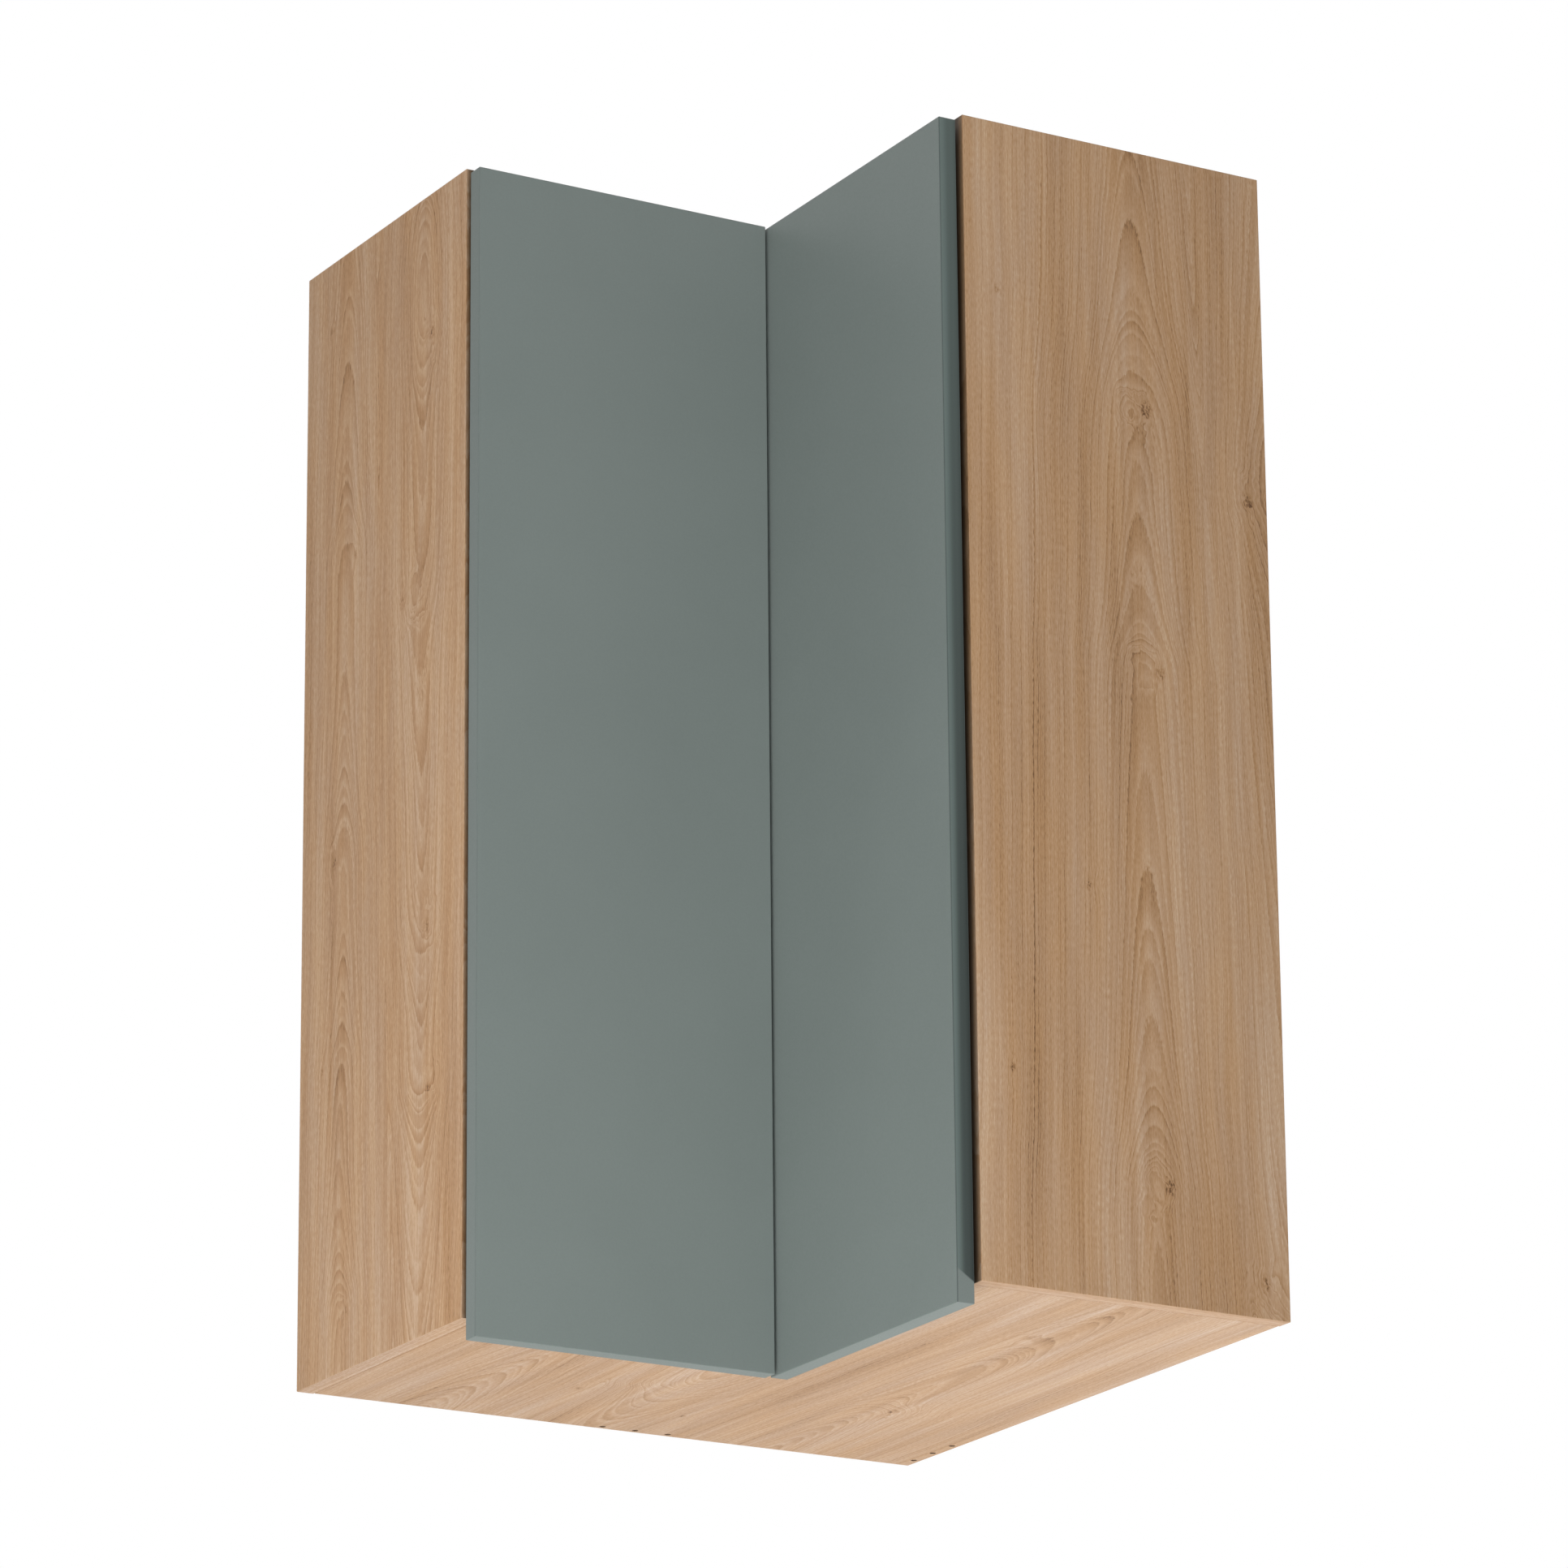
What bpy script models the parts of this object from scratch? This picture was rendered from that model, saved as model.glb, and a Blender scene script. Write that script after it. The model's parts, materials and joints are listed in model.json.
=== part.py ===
# Corner wall cabinet: an L-shaped carcass hung on two walls and closed by a bifold pair of doors.
# Sizes are laid out from the room corner at the carcass underside: +X runs along the back wall,
# -Y along the left wall. One empty then shifts everything, so that the origin lies on the wall
# face of the rear stile that stands against the back wall, half way up the carcass.

import math

import bmesh
import bpy
from mathutils import Matrix, Vector

# Carcass
LEG = 0.600                  # length along each wall
HEIGHT = 1.000
DEPTH = 0.295                # from each wall to the carcass front
BOARD = 0.016
EDGE_ROUND = 0.0006
REAR_SETBACK = 0.0013        # top and bottom panels stop this far from the wall
SEAT = 0.0003                # gap between pieces that touch

# Back panels in grooves, and the stiles behind them
BACK_THICK = 0.003
BACK_SPACE = 0.0164          # from the wall to the back panel
GROOVE_DEEP = 0.006
STILE_WIDE = 0.100
STILE_THICK = 0.016
LEFT_STILE_AT = 0.279        # stile centres, from the room corner
BACK_STILE_AT = 0.054

# Screws through the bottom panel into the stiles
SCREW_PITCH = 0.032
SCREW_COUNT = 3
SCREW_RADIUS = 0.0016
SCREW_HEAD_RADIUS = 0.0023
SCREW_HEAD_LONG = 0.0025
SCREW_RECESS = 0.003
SCREW_GRIP = 0.030           # length in the stile

# Shelves, their pins and the rows of holes
SHELF_COUNT = 2
SHELF_THICK = 0.016
SHELF_SETBACK = 0.010
PIN_RADIUS = 0.0022
PIN_DEEP = 0.008
PIN_HEAD_RADIUS = 0.0045
PIN_HEAD_LONG = 0.008
PIN_COLLAR = 0.0012
PIN_FLAT = 0.0012            # height of the bearing flat above the pin's axis
HOLE_PITCH = 0.032
HOLE_COUNT = 5
HOLE_FRONT = 0.037           # front row of holes, from the carcass front
HOLE_ROWS_APART = 0.192
HOLE_BOTTOM = 0.002          # depth of a hole past its pin

# Doors
DOOR_THICK = 0.016
DOOR_GAP = 0.0065            # between carcass front and door
DOOR_INSET = 0.0005          # door edge inside the carcass side
DOOR_DROP = 0.020            # finger grip below the carcass
DOOR_TOP = 0.006             # door top below the carcass top
DOOR_SEAM = 0.003            # left door's end to the right door's face
DOOR_LAP = 0.0035            # right door's end in front of the left door's back

# Cup hinges between the left side panel and the left door
HINGE_END = 0.100            # outer hinges from the carcass top and bottom
CUP_RADIUS = 0.0174
CUP_WALL = 0.001
CUP_DEEP = 0.012
CUP_EDGE = 0.0035            # wood between the cup bore and the door's edge
FLANGE_THICK = 0.0012
FLANGE_WIDE = 0.021
FLANGE_LONG = 0.062
CHEEK_FRONT = 0.003          # pin cheeks start this deep in the cup
PIVOT_DEEP = 0.0065          # hinge axis in front of the door's back
PIVOT_WALL = 0.004           # hinge axis to the inside of the cup
PIVOT_RADIUS = 0.0012
PIVOT_HALF = 0.0092
EYE_RADIUS = 0.0028
ARM_THICK = 0.0025
ARM_HALF = 0.005
ARM_LONG = 0.060             # arm behind the carcass front
ARM_BEND = 0.002
ARM_RELIEF = 0.001           # play beside the arm where it leaves the open cup
PLATE_THICK = 0.0027
PLATE_SPINE = 0.044
PLATE_SPINE_HIGH = 0.016
PLATE_NOSE_HIGH = 0.012      # the spine narrows towards its ends
PLATE_FILLET = 0.003
PLATE_WING = 0.014
PLATE_WING_HIGH = 0.050
PLATE_HOLE_RADIUS = 0.0025
PLATE_HOLE_AT = 0.016

# Leaf hinges between the two doors
LEAF_THICK = 0.0015
LEAF_LONG = 0.055
LEAF_HIGH = 0.054
LEAF_HOLE_RADIUS = 0.002
LEAF_HOLE_INSET = 0.009
KNUCKLE_RADIUS = 0.003
KNUCKLE_TURN = math.radians(285)
KNUCKLE_HIGH = 0.018         # middle knuckle
LEAF_PIN_RADIUS = 0.0012
LEAF_PIN_HEAD = 0.0022
LEAF_PIN_HEAD_HIGH = 0.001

# Wall hangers
HANGER_WIDE = 0.020
HANGER_LONG = 0.042
HANGER_HIGH = 0.052
HANGER_DROP = 0.030          # below the carcass top
HOOK_WIDE = 0.014
HOOK_THICK = 0.0025
HOOK_BELOW_TOP = 0.016       # hook strip below the top of its housing
HOOK_IN = 0.026              # length held in the housing
HOOK_FROM_WALL = 0.003
HOOK_LIP = 0.018
HOOK_BEND = 0.003
HOOK_SLOT_PLAY = 0.001
ADJUSTER_RADIUS = 0.003
ADJUSTER_DEEP = 0.004

# Bumpers
BUMPER_RADIUS = 0.004
BUMPER_IN = 0.045            # from the right end, or from the inner corner

SEGMENTS = 24
PIN_SEGMENTS = 16
HOLE_SEGMENTS = 12
UP = Vector((0.0, 0.0, 1.0))

# Places worked out from the sizes above
DOOR_BACK = DEPTH + DOOR_GAP
DOOR_FRONT = DOOR_BACK + DOOR_THICK
DOOR_LOW = -DOOR_DROP
DOOR_HIGH = HEIGHT - DOOR_TOP
INNER = LEG - BOARD          # inside face of a side panel
BACK_FACE = BACK_SPACE + BACK_THICK
SHELF_PLAY = PIN_COLLAR + 3 * SEAT   # clears the collars of the shelf pins
LEVEL = (HEIGHT - 2 * BOARD - SHELF_COUNT * SHELF_THICK) / (SHELF_COUNT + 1)
SHELF_LOWS = [BOARD + LEVEL + i * (LEVEL + SHELF_THICK) for i in range(SHELF_COUNT)]
HINGE_HEIGHTS = (HINGE_END, HEIGHT / 2, HEIGHT - HINGE_END)
HOLE_FRONT_ROW = DEPTH - HOLE_FRONT
HOLE_ROWS = (HOLE_FRONT_ROW - HOLE_ROWS_APART, HOLE_FRONT_ROW)
CUP_BORE = CUP_RADIUS + SEAT
CUP_AT = -LEG + DOOR_INSET + CUP_EDGE + CUP_BORE
SWING = Vector((DOOR_BACK + PIVOT_DEEP, CUP_AT - (CUP_RADIUS - CUP_WALL - PIVOT_WALL), 0.0))
FOLD_BACK = DOOR_BACK - SEAT - KNUCKLE_RADIUS
FOLD = Vector((FOLD_BACK, -FOLD_BACK, 0.0))
ORIGIN = Vector((BACK_STILE_AT, 0.0, HEIGHT / 2))

for old in list(bpy.data.objects):
    bpy.data.objects.remove(old, do_unlink=True)

cabinet = bpy.data.collections.new("corner_wall_cabinet")
cutters = bpy.data.collections.new("cutters")
bpy.context.scene.collection.children.link(cabinet)
bpy.context.scene.collection.children.link(cutters)


def add_empty(name, place, parent=None):
    empty = bpy.data.objects.new(name, None)
    empty.location = place
    empty.parent = parent
    cabinet.objects.link(empty)
    return empty


room_corner = add_empty("room_corner", -ORIGIN)
swing_axis = add_empty("swing_axis", SWING, room_corner)
fold_axis = add_empty("fold_axis", FOLD - SWING, swing_axis)
AXIS_PLACES = {room_corner: Vector(), swing_axis: SWING, fold_axis: FOLD}


def make_finish(name, colour, roughness, metallic=0.0):
    finish = bpy.data.materials.new(name)
    finish.use_nodes = True
    shader = finish.node_tree.nodes["Principled BSDF"]
    shader.inputs["Base Color"].default_value = (*colour, 1.0)
    shader.inputs["Roughness"].default_value = roughness
    shader.inputs["Metallic"].default_value = metallic
    finish.diffuse_color = (*colour, 1.0)
    return finish


oak = make_finish("oak_laminate", (0.47, 0.32, 0.20), 0.45)
hardboard = make_finish("hardboard", (0.52, 0.37, 0.24), 0.55)
lacquer = make_finish("grey_green_lacquer", (0.17, 0.20, 0.19), 0.40)
nickel = make_finish("nickel_plated_steel", (0.62, 0.60, 0.57), 0.28, 1.0)
zinc = make_finish("zinc_plated_steel", (0.50, 0.51, 0.53), 0.40, 1.0)
dark_steel = make_finish("blackened_steel", (0.05, 0.045, 0.04), 0.50, 1.0)
plastic = make_finish("white_plastic", (0.80, 0.80, 0.78), 0.45)
rubber = make_finish("clear_rubber", (0.70, 0.70, 0.68), 0.35)


def add_piece(name, mesh, finish, place, body=room_corner, turn=None):
    piece = bpy.data.objects.new(name, mesh)
    cabinet.objects.link(piece)
    piece.parent = body
    piece.location = Vector(place) - AXIS_PLACES[body]
    if turn is not None:
        piece.rotation_euler = turn.to_euler()
    mesh.materials.clear()
    mesh.materials.append(finish)
    return piece


def add_cutter(name, mesh, place, turn=None):
    cutter = bpy.data.objects.new(name, mesh)
    cutters.objects.link(cutter)
    cutter.parent = room_corner
    cutter.location = place
    if turn is not None:
        cutter.rotation_euler = turn.to_euler()
    cutter.hide_render = True
    cutter.display_type = "WIRE"
    return cutter


def combine(piece, other, operation="DIFFERENCE"):
    step = piece.modifiers.new(other.name, "BOOLEAN")
    step.operation = operation
    step.solver = "EXACT"
    step.object = other


def round_edges(piece, radius=EDGE_ROUND):
    bevel = piece.modifiers.new("rounded_edges", "BEVEL")
    bevel.width = radius
    bevel.segments = 2
    bevel.limit_method = "ANGLE"


def shade_round(mesh):
    mesh.shade_smooth()
    mesh.set_sharp_from_angle(angle=math.radians(35))


def box_mesh(name, size):
    bm = bmesh.new()
    bmesh.ops.create_cube(bm, size=1.0)
    bmesh.ops.scale(bm, vec=size, verts=bm.verts)
    mesh = bpy.data.meshes.new(name)
    bm.to_mesh(mesh)
    bm.free()
    return mesh


def between(low, high):
    low, high = Vector(low), Vector(high)
    return (low + high) / 2, high - low


def add_box(name, low, high, finish, body=room_corner):
    centre, size = between(low, high)
    return add_piece(name, box_mesh(name, size), finish, centre, body)


def cut_box(piece, name, low, high):
    centre, size = between(low, high)
    combine(piece, add_cutter(name, box_mesh(name, size), centre))


def rod_mesh(name, radius, length, segments=SEGMENTS):
    bm = bmesh.new()
    bmesh.ops.create_cone(bm, cap_ends=True, segments=segments, radius1=radius, radius2=radius, depth=length)
    mesh = bpy.data.meshes.new(name)
    bm.to_mesh(mesh)
    bm.free()
    shade_round(mesh)
    return mesh


def cut_round(piece, name, radius, length, centre, turn=None, segments=HOLE_SEGMENTS):
    combine(piece, add_cutter(name, rod_mesh(name, radius, length, segments), centre, turn))


def curve_mesh(name, points, half_width, closed):
    # A closed outline becomes a flat plate, an open path a ribbon; both stand on edge along Z.
    curve = bpy.data.curves.new(name, "CURVE")
    curve.dimensions = "2D"
    curve.fill_mode = "BOTH" if closed else "NONE"
    curve.extrude = half_width
    spline = curve.splines.new("POLY")
    spline.points.add(len(points) - 1)
    spline.use_cyclic_u = closed
    for point, place in zip(spline.points, points):
        point.co = (place[0], place[1], 0.0, 1.0)
    holder = bpy.data.objects.new(name, curve)
    bpy.context.scene.collection.objects.link(holder)
    drawn = holder.evaluated_get(bpy.context.evaluated_depsgraph_get())
    mesh = bpy.data.meshes.new_from_object(drawn)
    bpy.data.objects.remove(holder, do_unlink=True)
    bm = bmesh.new()
    bm.from_mesh(mesh)
    bmesh.ops.remove_doubles(bm, verts=bm.verts, dist=1e-6)
    bmesh.ops.dissolve_limit(bm, angle_limit=math.radians(0.1), verts=bm.verts, edges=bm.edges)
    bmesh.ops.recalc_face_normals(bm, faces=bm.faces)
    bm.to_mesh(mesh)
    bm.free()
    return mesh


def thicken(piece, thickness):
    wall = piece.modifiers.new("strip_thickness", "SOLIDIFY")
    wall.thickness = thickness
    wall.offset = 0.0
    wall.use_even_offset = True


def turn_profile(piece, segments):
    lathe = piece.modifiers.new("turned", "SCREW")
    lathe.steps = segments
    lathe.render_steps = segments
    lathe.use_merge_vertices = True
    lathe.merge_threshold = 0.00001


def profile_mesh(name, points):
    # Radius and height pairs, from the top of the axis down the outside to its foot.
    mesh = bpy.data.meshes.new(name)
    edges = [(i, i + 1) for i in range(len(points) - 1)]
    mesh.from_pydata([(radius, 0.0, height) for radius, height in points], edges, [])
    return mesh


def arc(centre, radius, start, end, steps):
    angles = [start + (end - start) * i / steps for i in range(steps + 1)]
    return [(centre[0] + radius * math.cos(a), centre[1] + radius * math.sin(a)) for a in angles]


def facing(direction):
    # Turns a piece's own Z to the direction and keeps its own Y upright.
    direction = Vector(direction)
    return Matrix((UP.cross(direction), UP, direction)).transposed()


def flip(point):
    # Mirrors a plan point from the left wall's leg to the back wall's leg.
    return (-point[1], -point[0])


def corner_outline(rear, side, front):
    outline = [(rear, -side), (front, -side), (front, -front)]
    return outline + [flip(p) for p in reversed(outline[:2])] + [(rear, -rear)]


def add_corner_board(name, rear, side, front, low, thick):
    mesh = curve_mesh(name, corner_outline(rear, side, front), thick / 2, True)
    board = add_piece(name, mesh, oak, (0.0, 0.0, low + thick / 2))
    round_edges(board)
    return board


def cut_pin_holes(panel, name, starts, direction, heights, depth):
    # Blind holes at every start point and height, running back from the face that faces direction.
    for row, start in enumerate(starts):
        for count, height in enumerate(heights):
            centre = Vector((*start, height)) - Vector(direction) * depth / 2
            centre += Vector(direction) * SEAT
            cut_round(panel, f"{name}_{row}_{count}", PIN_RADIUS + SEAT, depth + 2 * SEAT, centre,
                      facing(direction))


PIN_AXIS_DROP = PIN_FLAT + SEAT
PIN_HEIGHTS = [low - PIN_AXIS_DROP for low in SHELF_LOWS]
HOLE_STEPS = range(-(HOLE_COUNT // 2), HOLE_COUNT - HOLE_COUNT // 2)
HOLE_HEIGHTS = [height + step * HOLE_PITCH for height in PIN_HEIGHTS for step in HOLE_STEPS]
PIN_HOLE_DEEP = PIN_DEEP + HOLE_BOTTOM
LEFT_ROWS = [(row, -INNER) for row in HOLE_ROWS]
RIGHT_ROWS = [flip(place) for place in LEFT_ROWS]


def make_side_panels():
    low, high = (0.0, -LEG, 0.0), (DEPTH, -INNER, HEIGHT)
    left = add_box("left_side_panel", low, high, oak)
    right = add_box("right_side_panel", (*flip(high), 0.0), (*flip(low), HEIGHT), oak)
    groove_low = (BACK_SPACE - SEAT, -INNER - GROOVE_DEEP)
    groove_high = (BACK_FACE + SEAT, -INNER + SEAT)
    ends = (BOARD - GROOVE_DEEP, HEIGHT - BOARD + GROOVE_DEEP)
    for panel in (left, right):
        round_edges(panel)
    cut_box(left, "left_groove", (*groove_low, ends[0]), (*groove_high, ends[1]))
    cut_box(right, "right_groove", (*flip(groove_high), ends[0]), (*flip(groove_low), ends[1]))
    cut_pin_holes(left, "left_hole", LEFT_ROWS, (0, 1, 0), HOLE_HEIGHTS, PIN_HOLE_DEEP)
    cut_pin_holes(right, "right_hole", RIGHT_ROWS, (-1, 0, 0), HOLE_HEIGHTS, PIN_HOLE_DEEP)


def cut_back_grooves(board, low, high):
    # Two grooves, one along each wall, that hold the edges of the back panels.
    start = (BACK_SPACE - SEAT, -INNER - SEAT)
    end = (BACK_FACE + SEAT, -BACK_SPACE + SEAT)
    cut_box(board, f"{board.name}_groove_left", (*start, low), (*end, high))
    cut_box(board, f"{board.name}_groove_back", (*flip(end), low), (*flip(start), high))


def screw_places():
    steps = [(i - (SCREW_COUNT - 1) / 2) * SCREW_PITCH for i in range(SCREW_COUNT)]
    left = [(STILE_THICK / 2, -LEFT_STILE_AT + step) for step in steps]
    back = [(BACK_STILE_AT + step, -STILE_THICK / 2) for step in steps]
    return left, back


def make_top_and_bottom():
    bottom = add_corner_board("bottom_panel", REAR_SETBACK, INNER - SEAT, DEPTH, 0.0, BOARD)
    cut_back_grooves(bottom, BOARD - GROOVE_DEEP, BOARD + SEAT)
    for side, places in zip(("left", "back"), screw_places()):
        for count, place in enumerate(places):
            cut_round(bottom, f"{side}_screw_hole_{count}", SCREW_HEAD_RADIUS + SEAT, 2 * BOARD,
                      (*place, BOARD / 2), segments=SEGMENTS)
    top = add_corner_board("top_panel", REAR_SETBACK, INNER - SEAT, DEPTH, HEIGHT - BOARD, BOARD)
    cut_back_grooves(top, HEIGHT - BOARD - SEAT, HEIGHT - BOARD + GROOVE_DEEP)


def make_back_panels():
    low, high = BOARD - GROOVE_DEEP + SEAT, HEIGHT - BOARD + GROOVE_DEEP - SEAT
    tongue = INNER + GROOVE_DEEP - SEAT
    left = add_box("back_panel_left_wall", (BACK_SPACE, -tongue, low),
                   (BACK_FACE, -BACK_FACE - SEAT, high), hardboard)
    back = add_box("back_panel_back_wall", (BACK_SPACE, -BACK_FACE, low),
                   (tongue, -BACK_SPACE, high), hardboard)
    slot_half = HOOK_WIDE / 2 + HOOK_SLOT_PLAY
    slot_high = HOOK_HIGH + HOOK_THICK + HOOK_SLOT_PLAY
    slot_low = HOOK_HIGH + HOOK_THICK - HOOK_LIP - HOOK_SLOT_PLAY
    slot = ((BACK_SPACE - SEAT, -HANGER_AT - slot_half), (BACK_FACE + SEAT, -HANGER_AT + slot_half))
    cut_box(left, "left_hook_slot", (*slot[0], slot_low), (*slot[1], slot_high))
    cut_box(back, "back_hook_slot", (*flip(slot[1]), slot_low), (*flip(slot[0]), slot_high))
    passing = BACK_THICK + 2 * SEAT
    cut_pin_holes(left, "left_back_hole", [(BACK_FACE, -LEFT_STILE_AT)], (1, 0, 0), PIN_HEIGHTS, passing)
    cut_pin_holes(back, "back_back_hole", [(BACK_STILE_AT, -BACK_FACE)], (0, -1, 0), PIN_HEIGHTS, passing)


def make_stiles():
    half = STILE_WIDE / 2
    low, high = BOARD + SEAT, HEIGHT - BOARD - SEAT
    left = add_box("rear_stile_left_wall", (0.0, -LEFT_STILE_AT - half, low),
                   (STILE_THICK, -LEFT_STILE_AT + half, high), oak)
    back = add_box("rear_stile_back_wall", (BACK_STILE_AT - half, -STILE_THICK, low),
                   (BACK_STILE_AT + half, 0.0, high), oak)
    pilot = SCREW_GRIP + SCREW_HEAD_LONG
    for stile, side, places in zip((left, back), ("left", "back"), screw_places()):
        round_edges(stile)
        for count, place in enumerate(places):
            cut_round(stile, f"{side}_pilot_{count}", SCREW_RADIUS + SEAT, 2 * pilot, (*place, low))
    cut_pin_holes(left, "left_stile_hole", [(STILE_THICK, -LEFT_STILE_AT)], (1, 0, 0), PIN_HEIGHTS,
                  PIN_HOLE_DEEP)
    cut_pin_holes(back, "back_stile_hole", [(BACK_STILE_AT, -STILE_THICK)], (0, -1, 0), PIN_HEIGHTS,
                  PIN_HOLE_DEEP)


def make_stile_screws():
    long = BOARD - SCREW_RECESS + SCREW_GRIP
    cone = SCREW_HEAD_RADIUS - SCREW_RADIUS
    profile = [(0.0, long), (SCREW_RADIUS / 3, long), (SCREW_RADIUS, long - 2 * SCREW_RADIUS),
               (SCREW_RADIUS, SCREW_HEAD_LONG), (SCREW_HEAD_RADIUS, SCREW_HEAD_LONG - cone),
               (SCREW_HEAD_RADIUS, 0.0), (0.0, 0.0)]
    for side, places in zip(("left", "back"), screw_places()):
        for count, place in enumerate(places):
            name = f"stile_screw_{side}_{count + 1}"
            screw = add_piece(name, profile_mesh(name, profile), dark_steel, (*place, SCREW_RECESS))
            turn_profile(screw, HOLE_SEGMENTS)


def make_shelves():
    for name, low in zip(("lower_shelf", "upper_shelf"), SHELF_LOWS):
        rear, side = BACK_FACE + SHELF_PLAY, INNER - SHELF_PLAY
        add_corner_board(name, rear, side, DEPTH - SHELF_SETBACK, low, SHELF_THICK)


def make_shelf_pins():
    outlets = [
        ("left_rear", LEFT_ROWS[0], (0, 1, 0), PIN_DEEP),
        ("left_front", LEFT_ROWS[1], (0, 1, 0), PIN_DEEP),
        ("right_rear", RIGHT_ROWS[0], (-1, 0, 0), PIN_DEEP),
        ("right_front", RIGHT_ROWS[1], (-1, 0, 0), PIN_DEEP),
        ("left_wall", (BACK_FACE, -LEFT_STILE_AT), (1, 0, 0), PIN_DEEP + BACK_FACE - STILE_THICK),
        ("back_wall", (BACK_STILE_AT, -BACK_FACE), (0, -1, 0), PIN_DEEP + BACK_FACE - STILE_THICK),
    ]
    for shelf, height in zip(("lower", "upper"), PIN_HEIGHTS):
        for place_name, place, direction, deep in outlets:
            name = f"shelf_pin_{shelf}_{place_name}"
            head = PIN_HEAD_LONG
            profile = [(0.0, head), (PIN_HEAD_RADIUS, head), (PIN_HEAD_RADIUS, 0.0), (PIN_RADIUS, 0.0),
                       (PIN_RADIUS, -deep), (0.0, -deep)]
            out = Vector(direction)
            foot = Vector((*place, height)) + out * SEAT
            pin = add_piece(name, profile_mesh(name, profile), nickel, foot, turn=facing(direction))
            turn_profile(pin, PIN_SEGMENTS)
            rest = box_mesh(f"{name}_flat", (3 * PIN_HEAD_RADIUS, PIN_HEAD_RADIUS, head))
            middle = foot + out * (PIN_COLLAR + head / 2) + UP * (PIN_FLAT + PIN_HEAD_RADIUS / 2)
            combine(pin, add_cutter(f"{name}_flat", rest, middle, facing(direction)))


HANGER_AT = INNER - SEAT - HANGER_WIDE / 2
HANGER_TOP = HEIGHT - HANGER_DROP
HOOK_HIGH = HANGER_TOP - HOOK_BELOW_TOP
HANGER_REAR = BACK_FACE + SEAT


def make_hangers():
    # Each hanger is laid out along its own X, from the wall towards the room.
    upright = Matrix.Rotation(math.radians(90), 3, "X")
    sides = {"left": (Matrix.Identity(3), Vector((0.0, -HANGER_AT, 0.0))),
             "right": (Matrix.Rotation(math.radians(-90), 3, "Z"), Vector((HANGER_AT, 0.0, 0.0)))}
    for side, (turn, foot) in sides.items():
        size = Vector((HANGER_LONG, HANGER_WIDE, HANGER_HIGH))
        centre = Vector((HANGER_REAR + HANGER_LONG / 2, 0.0, HANGER_TOP - HANGER_HIGH / 2))
        name = f"hanger_housing_{side}"
        housing = add_piece(name, box_mesh(name, size), plastic, foot + turn @ centre, turn=turn)
        round_edges(housing, 0.002)
        slot = Vector((2 * HOOK_IN + 2 * SEAT, HOOK_WIDE + 2 * SEAT, HOOK_THICK + 2 * SEAT))
        middle = Vector((HANGER_REAR, 0.0, HOOK_HIGH + HOOK_THICK / 2))
        combine(housing, add_cutter(f"{name}_slot", box_mesh(f"{name}_slot", slot), foot + turn @ middle, turn))
        for count, drop in enumerate((0.25, 0.75)):
            spot = Vector((HANGER_REAR + HANGER_LONG, 0.0, HANGER_TOP - drop * HANGER_HIGH))
            cut_round(housing, f"{name}_adjuster_{count}", ADJUSTER_RADIUS, 2 * ADJUSTER_DEEP,
                      foot + turn @ spot, turn @ facing((1, 0, 0)), SEGMENTS)
        lip_x = HOOK_FROM_WALL + HOOK_THICK / 2
        strip_z = HOOK_THICK / 2
        bend = arc((lip_x + HOOK_BEND, strip_z - HOOK_BEND), HOOK_BEND, math.pi / 2, math.pi, 4)
        path = [(HANGER_REAR + HOOK_IN, strip_z), *bend, (lip_x, HOOK_THICK - HOOK_LIP)]
        name = f"hanger_hook_{side}"
        hook = add_piece(name, curve_mesh(name, path, HOOK_WIDE / 2, False), zinc,
                         foot + UP * HOOK_HIGH, turn=turn @ upright)
        thicken(hook, HOOK_THICK)


def make_doors():
    outer = LEG - DOOR_INSET
    left = add_box("left_door", (DOOR_BACK, -outer, DOOR_LOW),
                   (DOOR_FRONT, -DOOR_FRONT - DOOR_SEAM, DOOR_HIGH), lacquer, swing_axis)
    right = add_box("right_door", (DOOR_BACK + DOOR_LAP, -DOOR_FRONT, DOOR_LOW),
                    (outer, -DOOR_BACK, DOOR_HIGH), lacquer, fold_axis)
    for door in (left, right):
        round_edges(door)
    for count, height in enumerate(HINGE_HEIGHTS):
        cut_round(left, f"cup_bore_{count}", CUP_BORE, 2 * (CUP_DEEP + SEAT),
                  (DOOR_BACK, CUP_AT, height), facing((1, 0, 0)), SEGMENTS)


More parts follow.
